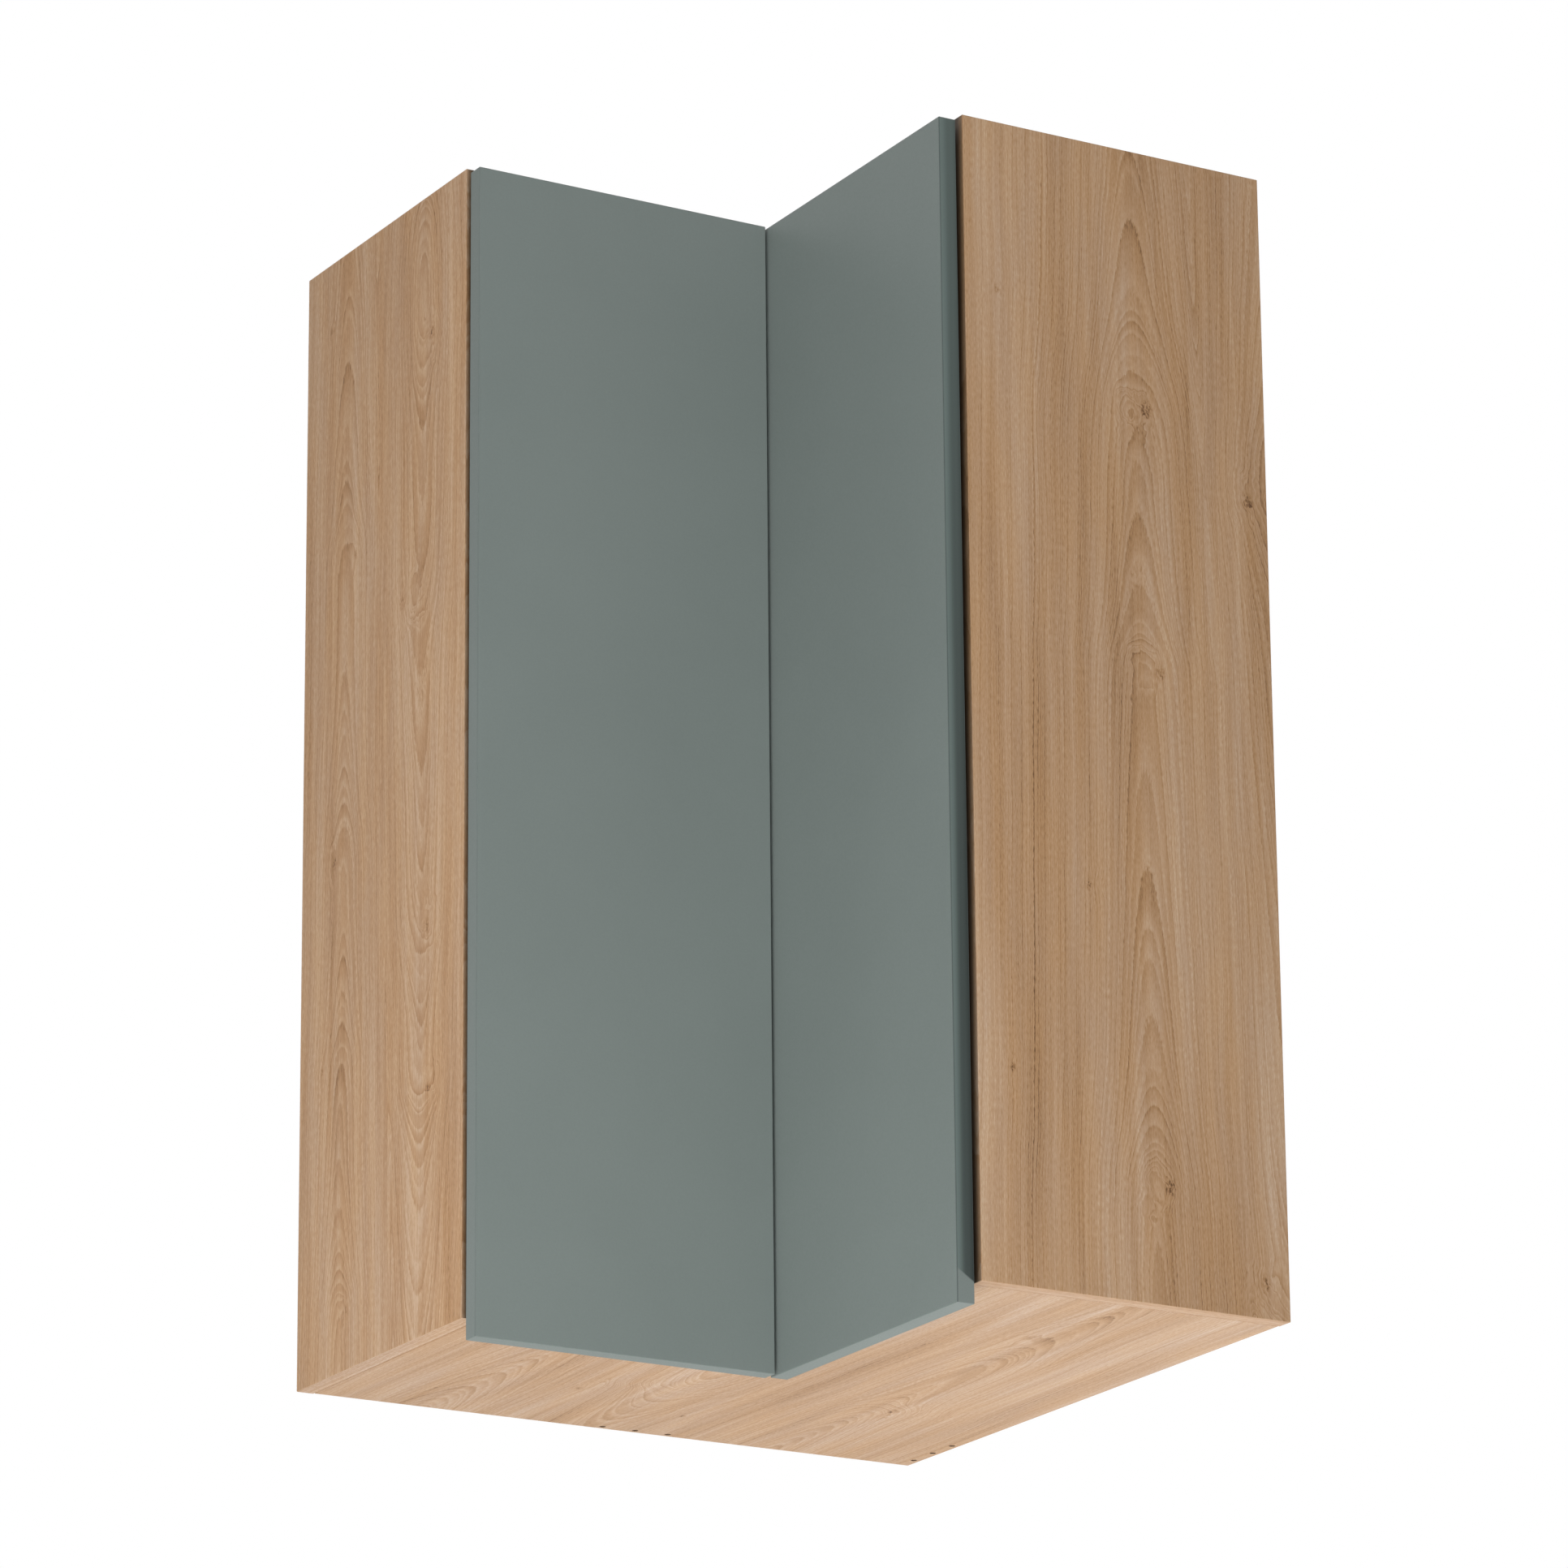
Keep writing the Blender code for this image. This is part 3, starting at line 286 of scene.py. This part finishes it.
    figure, rings = board["figure"], board["figure"] * look["rings"]
    lightness = add("Math", drawn, -rings, board["tone"] + look["ringMean"] * rings, operation="MULTIPLY_ADD")
    shares = {"bend": board["clouds"], "band": look["bands"] * board["banding"], "streak": look["streaks"] * figure,
              "hair": look["hairs"] * figure, "pore": look["pores"] * figure}
    for key, share in shares.items():
        centred = add("Math", noise[key], noiseMiddle, operation="SUBTRACT")
        lightness = add("Math", centred, share, lightness, operation="MULTIPLY_ADD")
    for mark, dark in ((eyes, look["knotDark"]), (pins, look["pinDark"])):
        lightness = add("Math", mark, -dark, lightness, operation="MULTIPLY_ADD")
    rampPlace = add("MapRange", lightness, *look["rampEnds"])
    wood = add("ValToRGB", rampPlace, stops=look["ramp"])
    warm = add("MapRange", noise["warmth"], *look["warmEnds"])
    tint = add("Mix", warm, more={6: linearFromHex(look["cool"]), 7: linearFromHex(look["warm"])}, take=2,
               data_type="RGBA")
    wood = add("Mix", 1.0, more={6: wood, 7: tint}, take=2, data_type="RGBA", blend_type="MULTIPLY")
    balance = add("Mix", onEdge, more={4: board["balance"], 5: board["ends"] or board["balance"]}, take=1,
                  data_type="VECTOR")
    wood = add("VectorMath", wood, balance, operation="MULTIPLY")

    if board["front"]:  # painted shade on the front edge behind the closed door: darker from the outer arris inwards
        facing, sign, sideways, outer, inner = board["front"]
        deep = add("MapRange", spot[sideways], outer, inner)
        kept = add("FloatCurve", more={"Value": deep}, curve=look["gapPaintedShade"])
        shown = add("MapRange", turned[facing], *(sign * turn for turn in look["frontTurn"]))
        dimmed = add("Mix", shown, more={2: 1.0, 3: kept})
        wood = add("VectorMath", wood, more={"Scale": dimmed}, operation="SCALE")
    if board["bored"]:  # painted shade in the drilled holes: dark walls, fading over a fine rim round each screw's axis
        nearest = None
        for name in (name for name in nodes if name.startswith(board["bored"])):
            low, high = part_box(name)
            local = add("Mapping", place, (-(low[0] + high[0]) / 2, -(low[1] + high[1]) / 2, 0.0),
                        more={"Scale": (1.0, 1.0, 0.0)})
            away = add("VectorMath", local, take="Value", operation="LENGTH")
            nearest = away if nearest is None else add("Math", nearest, away, operation="MINIMUM")
        kept = add("MapRange", nearest, *look["holeShadeEnds"])
        wood = add("VectorMath", wood, more={"Scale": kept}, operation="SCALE")
    if board["raw"]:  # the wall side of a back panel is bare pressed fibre, darker and flecked
        facing, sign = board["raw"]
        fleck = add("TexNoise", place, more={"Scale": 1 / look["fibre"], "Detail": look["fibreDetail"],
                                             "Roughness": look["fibreRough"]})
        cloud = add("TexNoise", place, more={"Scale": look["cloudPer"], "Detail": look["cloudDetail"]})
        both = add("Math", cloud, look["cloudBy"], fleck, operation="MULTIPLY_ADD")
        share = add("MapRange", both, *look["fibreEnds"])
        fibre = add("Mix", share, more={6: linearFromHex(look["fibreDark"]), 7: linearFromHex(look["fibreLight"])},
                    take=2, data_type="RGBA")
        bare = add("MapRange", turned[facing], -look["bareTurn"] * sign, look["bareTurn"] * sign)
        wood = add("Mix", bare, more={6: wood, 7: fibre}, take=2, data_type="RGBA")

    roughness = add("MapRange", noise["hair"], *look["brushed"])
    bump = add("Bump", more={"Strength": look["poreBump"], "Distance": look["poreDeep"], "Height": noise["pore"]})
    feed(shader, {"Base Color": wood, "Roughness": roughness, "Normal": bump, "Specular IOR Level": look["gloss"]})
    return material


# Sprayed matt lacquer on fibreboard: an even grey-green with the faint mottle and peel of a sprayed coat,
# a fine dark joint line where the end's band meets the face, and a painted shade of the carcass on the closed end.
lacquerLook = {
    "tone": "#767f7c", "mottle": "#727b78", "mottleEnds": (0.55, 1.05), "cloudPer": 6.0, "cloudDetail": 3.0,
    "peel": 0.0016, "peelDetail": 2.0, "peelBy": 0.6, "peelBump": 0.12, "peelDeep": 0.00005,
    "joint": "#3d4644", "jointEnds": (0.0003, 0.0010),  # metres from the edge
    "sprayed": (0.3, 0.7, 0.45, 0.52), "gloss": 0.2,    # peel to roughness
}
doorLooks = {  # edge: where the outer front edge stands, x and y; joint: how much its line shows
    "left_door": {"name": "sprayedMattLacquerLeft", "edge": (0.2635, -0.5995), "joint": 0.30, "shade": None},
    "right_door": {
        "name": "sprayedMattLacquerRight", "edge": (0.5455, -0.3175), "joint": 0.80,
        "shade": {  # painted shade on the end, from the front edge to the back
            "top": [(0.0, 0.86), (0.22, 0.74), (0.48, 0.55), (0.80, 0.52), (1.0, 0.34)],
            "foot": [(0.0, 0.86), (0.24, 0.63), (0.48, 0.32), (0.74, 0.26), (1.0, 0.12)],
            "heights": (-0.15, 0.50), "deep": 0.016, "endTurn": (0.80, 0.98), "cool": (0.93, 1.02, 1.01),
            "carcassFoot": -0.5022, "slope": 0.66, "soft": 0.0008,
        },
    },
}


def mattLacquer(door):
    look, shade = lacquerLook, door["shade"]
    material, add, shader = newMaterial(door["name"])
    coords = add("TexCoord").node.outputs
    place = coords["Object"]
    cloud = add("TexNoise", place, more={"Scale": look["cloudPer"], "Detail": look["cloudDetail"]})
    speck = add("TexNoise", place, more={"Scale": 1 / look["peel"], "Detail": look["peelDetail"]})
    both = add("Math", speck, look["peelBy"], cloud, operation="MULTIPLY_ADD")
    share = add("MapRange", both, *look["mottleEnds"])
    tone = add("Mix", share, more={6: linearFromHex(look["tone"]), 7: linearFromHex(look["mottle"])}, take=2,
               data_type="RGBA")

    fromEdge = add("VectorMath", place, (*door["edge"], 0.0), operation="SUBTRACT")
    flat = add("VectorMath", fromEdge, (1.0, 1.0, 0.0), operation="MULTIPLY")
    away = add("VectorMath", flat, take="Value", operation="LENGTH")
    joint = add("MapRange", away, *look["jointEnds"], door["joint"], 0.0)
    tone = add("Mix", joint, more={6: tone, 7: linearFromHex(look["joint"])}, take=2, data_type="RGBA")
    if shade:  # painted shade with a painted shadow line: two curves across the end, blended by height, above a slanting line at the carcass's foot
        turned = add("SeparateXYZ", coords["Normal"], take=0)
        height = add("SeparateXYZ", place, take=2)
        depth = add("SeparateXYZ", fromEdge, take=1)
        back = add("MapRange", depth, 0.0, shade["deep"])
        top, foot = (add("FloatCurve", more={"Value": back}, curve=shade[end]) for end in ("top", "foot"))
        rise = add("MapRange", height, *shade["heights"])
        kept = add("Mix", rise, more={2: foot, 3: top})
        slant = add("Math", depth, shade["slope"], height, operation="MULTIPLY_ADD")
        line = shade["carcassFoot"] + shade["slope"] * shade["deep"]
        above = add("MapRange", slant, line - shade["soft"], line + shade["soft"])
        ended = add("MapRange", turned, *shade["endTurn"])
        share = add("Math", above, ended, operation="MULTIPLY")
        # the painted shade also cools the tone
        cooled = add("VectorMath", shade["cool"], more={"Scale": kept}, operation="SCALE")
        dimmed = add("Mix", share, more={4: (1.0, 1.0, 1.0), 5: cooled}, take=1, data_type="VECTOR")
        tone = add("VectorMath", tone, dimmed, operation="MULTIPLY")

    roughness = add("MapRange", speck, *look["sprayed"])
    bump = add("Bump", more={"Strength": look["peelBump"], "Distance": look["peelDeep"], "Height": speck})
    feed(shader, {"Base Color": tone, "Roughness": roughness, "Normal": bump, "Specular IOR Level": look["gloss"]})
    return material


# Plain finishes that differ only in tone, gloss and grain; grain and bump in metres.
finishes = {
    "nickel_steel": {  # bright, with fine upright rolling marks
        "name": "nickelPlatedSteel", "light": "#cfcac2", "dark": "#b3aea6", "grain": 0.0007, "stretch": 6.0,
        "metal": 1.0, "rough": 0.27, "swing": 0.07, "bump": 0.00001},
    "zinc_steel": {  # bluish grey and softly clouded
        "name": "zincPlatedSteel", "light": "#b9bdc2", "dark": "#8f949b", "grain": 0.0030, "stretch": 1.0,
        "metal": 1.0, "rough": 0.38, "swing": 0.10, "bump": 0.00001},
    "blackened_steel": {  # nearly black, with a dull shine
        "name": "blackenedScrewSteel", "light": "#3a3430", "dark": "#221e1b", "grain": 0.0008, "stretch": 1.0,
        "metal": 0.9, "rough": 0.45, "swing": 0.10, "bump": 0.00001},
    "white_plastic": {  # even and satin, with a fine mould grain
        "name": "mouldedWhiteAbs", "light": "#e6e5e0", "dark": "#dad9d3", "grain": 0.0009, "stretch": 1.0,
        "metal": 0.0, "rough": 0.42, "swing": 0.06, "bump": 0.00002},
    "clear_rubber": {  # milky and smooth
        "name": "castClearPolyurethane", "light": "#dcdcd6", "dark": "#c9c9c2", "grain": 0.0020, "stretch": 1.0,
        "metal": 0.0, "rough": 0.30, "swing": 0.05, "bump": 0.00001},
}
grainLook = {"detail": 3.0, "ends": (0.3, 0.7), "bump": 0.3}


def plainFinish(look):
    material, add, shader = newMaterial(look["name"])
    place = add("TexCoord", take="Object")
    size, ends = 1 / look["grain"], grainLook["ends"]
    stretched = add("Mapping", place, more={"Scale": (size, size, size / look["stretch"])})
    grain = add("TexNoise", stretched, more={"Scale": 1.0, "Detail": grainLook["detail"]})
    share = add("MapRange", grain, *ends)
    tone = add("Mix", share, more={6: linearFromHex(look["light"]), 7: linearFromHex(look["dark"])}, take=2,
               data_type="RGBA")
    roughness = add("MapRange", grain, *ends, look["rough"] - look["swing"], look["rough"] + look["swing"])
    bump = add("Bump", more={"Strength": grainLook["bump"], "Distance": look["bump"], "Height": grain})
    feed(shader, {"Base Color": tone, "Roughness": roughness, "Normal": bump, "Metallic": look["metal"]})
    return material


slotOf = {part["node"]: part["material_slot"] for part in frame["record"]["subparts"]}
made = {slot: plainFinish(look) for slot, look in finishes.items()}
doorMade = {node: mattLacquer(door) for node, door in doorLooks.items()}
oakMade = {node: oakLaminate(board) for node, board in oakBoards.items()}
for name, piece in nodes.items():
    if slotOf[name] in ("oak_laminate", "hardboard"):
        finish = oakMade.get(name) or oakMade["shelf"]
    else:
        finish = doorMade.get(name) or made[slotOf[name]]
    piece.data.materials.clear()
    piece.data.materials.append(finish)
print("materials:", len(bpy.data.materials))


# Screws that hold the hinges and set the hangers: pan heads with a cross recess.
# Sizes in metres; places as shares of a CAD piece's box, and metres from there.
screwLooks = {
    "plateScrews": {
        "body": "carcass", "slot": "nickel_steel", "nodes": "hinge_plate", "facing": (0, 1, 0),
        "radius": 0.0036, "rise": 0.0013, "cross": 0.0022, "arm": 0.0009, "sink": 0.0011,
        "places": [((0.5, 1, 0.5), (0, 0, -0.016)), ((0.5, 1, 0.5), (0, 0, 0.016))]},
    "armScrews": {
        "body": "carcass", "slot": "nickel_steel", "nodes": "hinge_arm", "facing": (0, 1, 0),
        "radius": 0.0032, "rise": 0.0012, "cross": 0.0020, "arm": 0.0008, "sink": 0.0010,
        "places": [((0, 1, 0.5), (0.009, 0, 0)), ((0, 1, 0.5), (0.034, 0, 0))]},
    "earScrews": {
        "body": "hinged_leaf", "slot": "nickel_steel", "nodes": "hinge_cup", "facing": (-1, 0, 0),
        "radius": 0.0034, "rise": 0.0012, "cross": 0.0021, "arm": 0.0009, "sink": 0.0010,
        "places": [((0, 0.5, 0.5), (0, 0, -0.024)), ((0, 0.5, 0.5), (0, 0, 0.024))]},
    "leafScrewsLeft": {
        "body": "hinged_leaf", "slot": "nickel_steel", "nodes": "fold_leaf_left", "facing": (-1, 0, 0),
        "radius": 0.0034, "rise": 0.0010, "cross": 0.0021, "arm": 0.0009, "sink": 0.0009,
        "places": [((1, 0, 0.5), (-0.0015, 0.009, -0.018)), ((1, 0, 0.5), (-0.0015, 0.009, 0.018))]},
    "leafScrewsRight": {
        "body": "folding_leaf", "slot": "nickel_steel", "nodes": "fold_leaf_right", "facing": (0, 1, 0),
        "radius": 0.0034, "rise": 0.0010, "cross": 0.0021, "arm": 0.0009, "sink": 0.0009,
        "places": [((1, 0, 0.5), (-0.009, 0.0015, -0.018)), ((1, 0, 0.5), (-0.009, 0.0015, 0.018))]},
    "hangerScrewsLeft": {
        "body": "carcass", "slot": "zinc_steel", "nodes": "hanger_housing_left", "facing": (1, 0, 0),
        "radius": 0.0026, "rise": 0.0016, "cross": 0.0018, "arm": 0.0008, "sink": 0.0012,
        "places": [((1, 0.5, 1), (-0.004, 0, -0.013)), ((1, 0.5, 1), (-0.004, 0, -0.039))]},
    "hangerScrewsRight": {
        "body": "carcass", "slot": "zinc_steel", "nodes": "hanger_housing_right", "facing": (0, -1, 0),
        "radius": 0.0026, "rise": 0.0016, "cross": 0.0018, "arm": 0.0008, "sink": 0.0012,
        "places": [((0.5, 0, 1), (0, 0.004, -0.013)), ((0.5, 0, 1), (0, 0.004, -0.039))]},
}
headLook = {
    "rings": 18, "turns": 64,
    "crown": 0.7,            # share of the rise that the crown loses towards its rim
    "soft": 0.35,            # rounding of the recess's rim, in arm widths
    "shallow": 0.35,         # share of the sink that an arm loses towards its end
    "firstStop": 0.3, "nextStop": 0.7,  # each screw stopped at its own angle
    "crease": 50,            # degrees
}


def fromBox(node, place):
    # a point in a CAD piece's box: shares of the way from its lowest to its highest corner, plus metres
    low, high = (np.array(corner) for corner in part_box(node))
    share, more = np.array(place)
    return low + share * (high - low) + more


def smoothStep(value):
    # 0 below 0, 1 above 1, three squares less two cubes between
    value = np.clip(value, 0.0, 1.0)
    return value * value * (3 - 2 * value)


def panHead(look):
    # Rings from the crown's middle to the rim, then its foot and the underside. Height over the seat: the rise times
    # one less the crown share of the radius share's fourth power, minus a sink where a point lies in either arm of
    # the cross, shallower towards the arm's end.
    rings, turns = headLook["rings"], headLook["turns"]
    share = np.concatenate([np.arange(1, rings + 1) / rings, [1.0, 0.5]])
    angle = 2 * np.pi * np.arange(turns) / turns
    x, y = (look["radius"] * share[:, None] * turn(angle) for turn in (np.cos, np.sin))
    aside, out = np.minimum(abs(x), abs(y)), np.maximum(abs(x), abs(y))
    soft = headLook["soft"] * look["arm"]
    inArm = smoothStep((look["arm"] / 2 - aside) / soft + 0.5) * smoothStep((look["cross"] - out) / soft + 0.5)
    sink = look["sink"] * inArm * (1 - headLook["shallow"] * out / look["cross"])
    height = look["rise"] * (1 - headLook["crown"] * share[:, None] ** 4) - sink
    height[rings:] = 0.0
    points = np.stack([x, y, height], axis=-1).reshape(-1, 3)
    poles = [(0.0, 0.0, look["rise"] - look["sink"]), (0.0, 0.0, 0.0)]
    here = np.arange(turns)
    there = (here + 1) % turns
    row = turns * np.arange(rings + 1)[:, None]
    quads = np.stack([row + here, row + turns + here, row + turns + there, row + there], axis=-1).reshape(-1, 4)
    crown, last = len(points), turns * (rings + 1)
    fans = np.concatenate([np.stack([0 * here + crown, here, there], axis=-1),
                           np.stack([0 * here + crown + 1, last + there, last + here], axis=-1)])
    return np.concatenate([points, poles]), quads, fans


def makeScrews(name, look):
    # each head is turned about its seat's normal and moved to its seat: the seat plus the point times three axes
    points, quads, fans = panHead(look)
    homes = [node for node in nodes if node.startswith(look["nodes"])]
    seats = np.array([fromBox(node, place) for node in homes for place in look["places"]])
    out, up = np.array(look["facing"], float), np.array((0.0, 0.0, 1.0))
    turn = headLook["nextStop"] * np.arange(len(seats)) + headLook["firstStop"]
    side = np.cross(up, out)
    first = np.cos(turn)[:, None] * side + np.sin(turn)[:, None] * up
    second = np.cos(turn)[:, None] * up - np.sin(turn)[:, None] * side
    axes = np.stack([first, second, np.broadcast_to(out, first.shape)], axis=1)
    placed = seats[:, None, :] + points @ axes
    step = len(points) * np.arange(len(seats))[:, None, None]
    mesh = bpy.data.meshes.new(name)
    mesh.from_pydata(placed.reshape(-1, 3).tolist(), [],
                     (quads + step).reshape(-1, 4).tolist() + (fans + step).reshape(-1, 3).tolist())
    mesh.shade_smooth()
    mesh.set_sharp_from_angle(angle=math.radians(headLook["crease"]))
    mesh.materials.append(made[look["slot"]])
    piece = bpy.data.objects.new(name, mesh)
    scene.collection.objects.link(piece)
    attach(piece, look["body"])
    return len(seats)


print("screws:", sum(makeScrews(name, look) for name, look in screwLooks.items()))


# Stage: pale floor 1.6 m under the cabinet, soft round lamps low and high, white behind everything.
stageLook = {
    "floorAt": -2.10, "floorHalf": 14.0, "floor": "#dedcd8", "floorRough": 0.9,
    "floorWhite": 0.55,      # share of white that the eye sees there; the rest keeps the shadow
    "airStrength": 0.25, "aim": (0.24, -0.30, 0.0),  # every lamp looks there
}
white = linearFromHex("#ffffff")
lamps = {                    # place, width in metres, power in watts
    "lowFront": ((1.26, -2.07, -1.60), 1.8, 35.5),
    "lowRight": ((2.01, -1.32, -1.60), 1.8, 22.0),
    "lowBehind": ((-0.12, 1.72, -1.60), 1.2, 43.0),
    "highFront": ((2.74, -1.74, 1.80), 1.8, 42.0),
    "farLeft": ((-2.82, -1.12, -0.44), 1.8, 7.0),
    "highLeft": ((-2.40, 0.20, 1.60), 1.8, 26.0),
    "below": ((0.25, -0.30, -1.85), 1.6, 3.0),
}


def seenRays(add):
    # 1 for a ray that the eye follows: straight, mirrored or through glass
    rays = add("LightPath").node.outputs
    seen = add("Math", rays["Is Camera Ray"], rays["Is Glossy Ray"], operation="MAXIMUM")
    return add("Math", seen, rays["Is Transmission Ray"], operation="MAXIMUM")


def makeStage():
    half, low = stageLook["floorHalf"], stageLook["floorAt"]
    mesh = bpy.data.meshes.new("paleFloor")
    corners = [(-half, -half, low), (half, -half, low), (half, half, low), (-half, half, low)]
    mesh.from_pydata(corners, [], [(0, 1, 2, 3)])
    floor = bpy.data.objects.new("paleFloor", mesh)
    scene.collection.objects.link(floor)
    material, add, shader = newMaterial("matPaintedFloor")
    feed(shader, {"Base Color": linearFromHex(stageLook["floor"]), "Roughness": stageLook["floorRough"]})
    seen = seenRays(add)
    share = add("Math", seen, stageLook["floorWhite"], operation="MULTIPLY")
    glow = add("Emission", white, 1.0)
    pale = add("MixShader", share, shader.outputs[0], glow)
    under = add("NewGeometry", take="Backfacing")
    hidden = add("Math", under, seen, operation="MULTIPLY")  # from below the floor isn't there
    clear = add("BsdfTransparent")
    shown = add("MixShader", hidden, pale, clear)
    feed(material.node_tree.nodes["Material Output"], {"Surface": shown})
    mesh.materials.append(material)

    world = bpy.data.worlds.new("whiteStudio")
    world.use_nodes = True
    scene.world = world
    add = partial(addNode, world.node_tree)
    seen = seenRays(add)
    air = add("Background", white, stageLook["airStrength"])
    behind = add("Background", white, 1.0)
    both = add("MixShader", seen, air, behind)
    feed(world.node_tree.nodes["World Output"], {"Surface": both})

    for name, (place, size, power) in lamps.items():
        data = bpy.data.lights.new(name, "AREA")
        data.shape, data.size, data.energy = "DISK", size, power
        lamp = bpy.data.objects.new(name, data)
        turn = (Vector(stageLook["aim"]) - Vector(place)).to_track_quat("-Z", "Y").to_matrix().to_4x4()
        lamp.matrix_world = Matrix.Translation(place) @ turn
        lamp.visible_camera = False
        scene.collection.objects.link(lamp)


makeStage()
print("stage: floor and", len(lamps), "lamps")

# Camera from the photograph's edges: low in front of the inner corner, looking up.
cameraLook = {"place": (5.5263, -3.3974, -1.9692), "lens": 174.63, "sensor": 36.0, "far": 60.0,
              "right": (0.50401, 0.86366, -0.00846), "down": (-0.26823, 0.14721, -0.95204),
              "ahead": (-0.82099, 0.48211, 0.30585)}
cameraData = bpy.data.cameras.new("photoView")
cameraData.lens, cameraData.sensor_width = cameraLook["lens"], cameraLook["sensor"]
cameraData.clip_end = cameraLook["far"]
camera = bpy.data.objects.new("photoView", cameraData)
axes = [Vector(cameraLook["right"]), -Vector(cameraLook["down"]), -Vector(cameraLook["ahead"])]
turn = Matrix(axes).transposed().to_4x4()
camera.matrix_world = Matrix.Translation(cameraLook["place"]) @ turn
scene.collection.objects.link(camera)
scene.camera = camera
scene.view_settings.view_transform = "Standard"
print("camera placed")
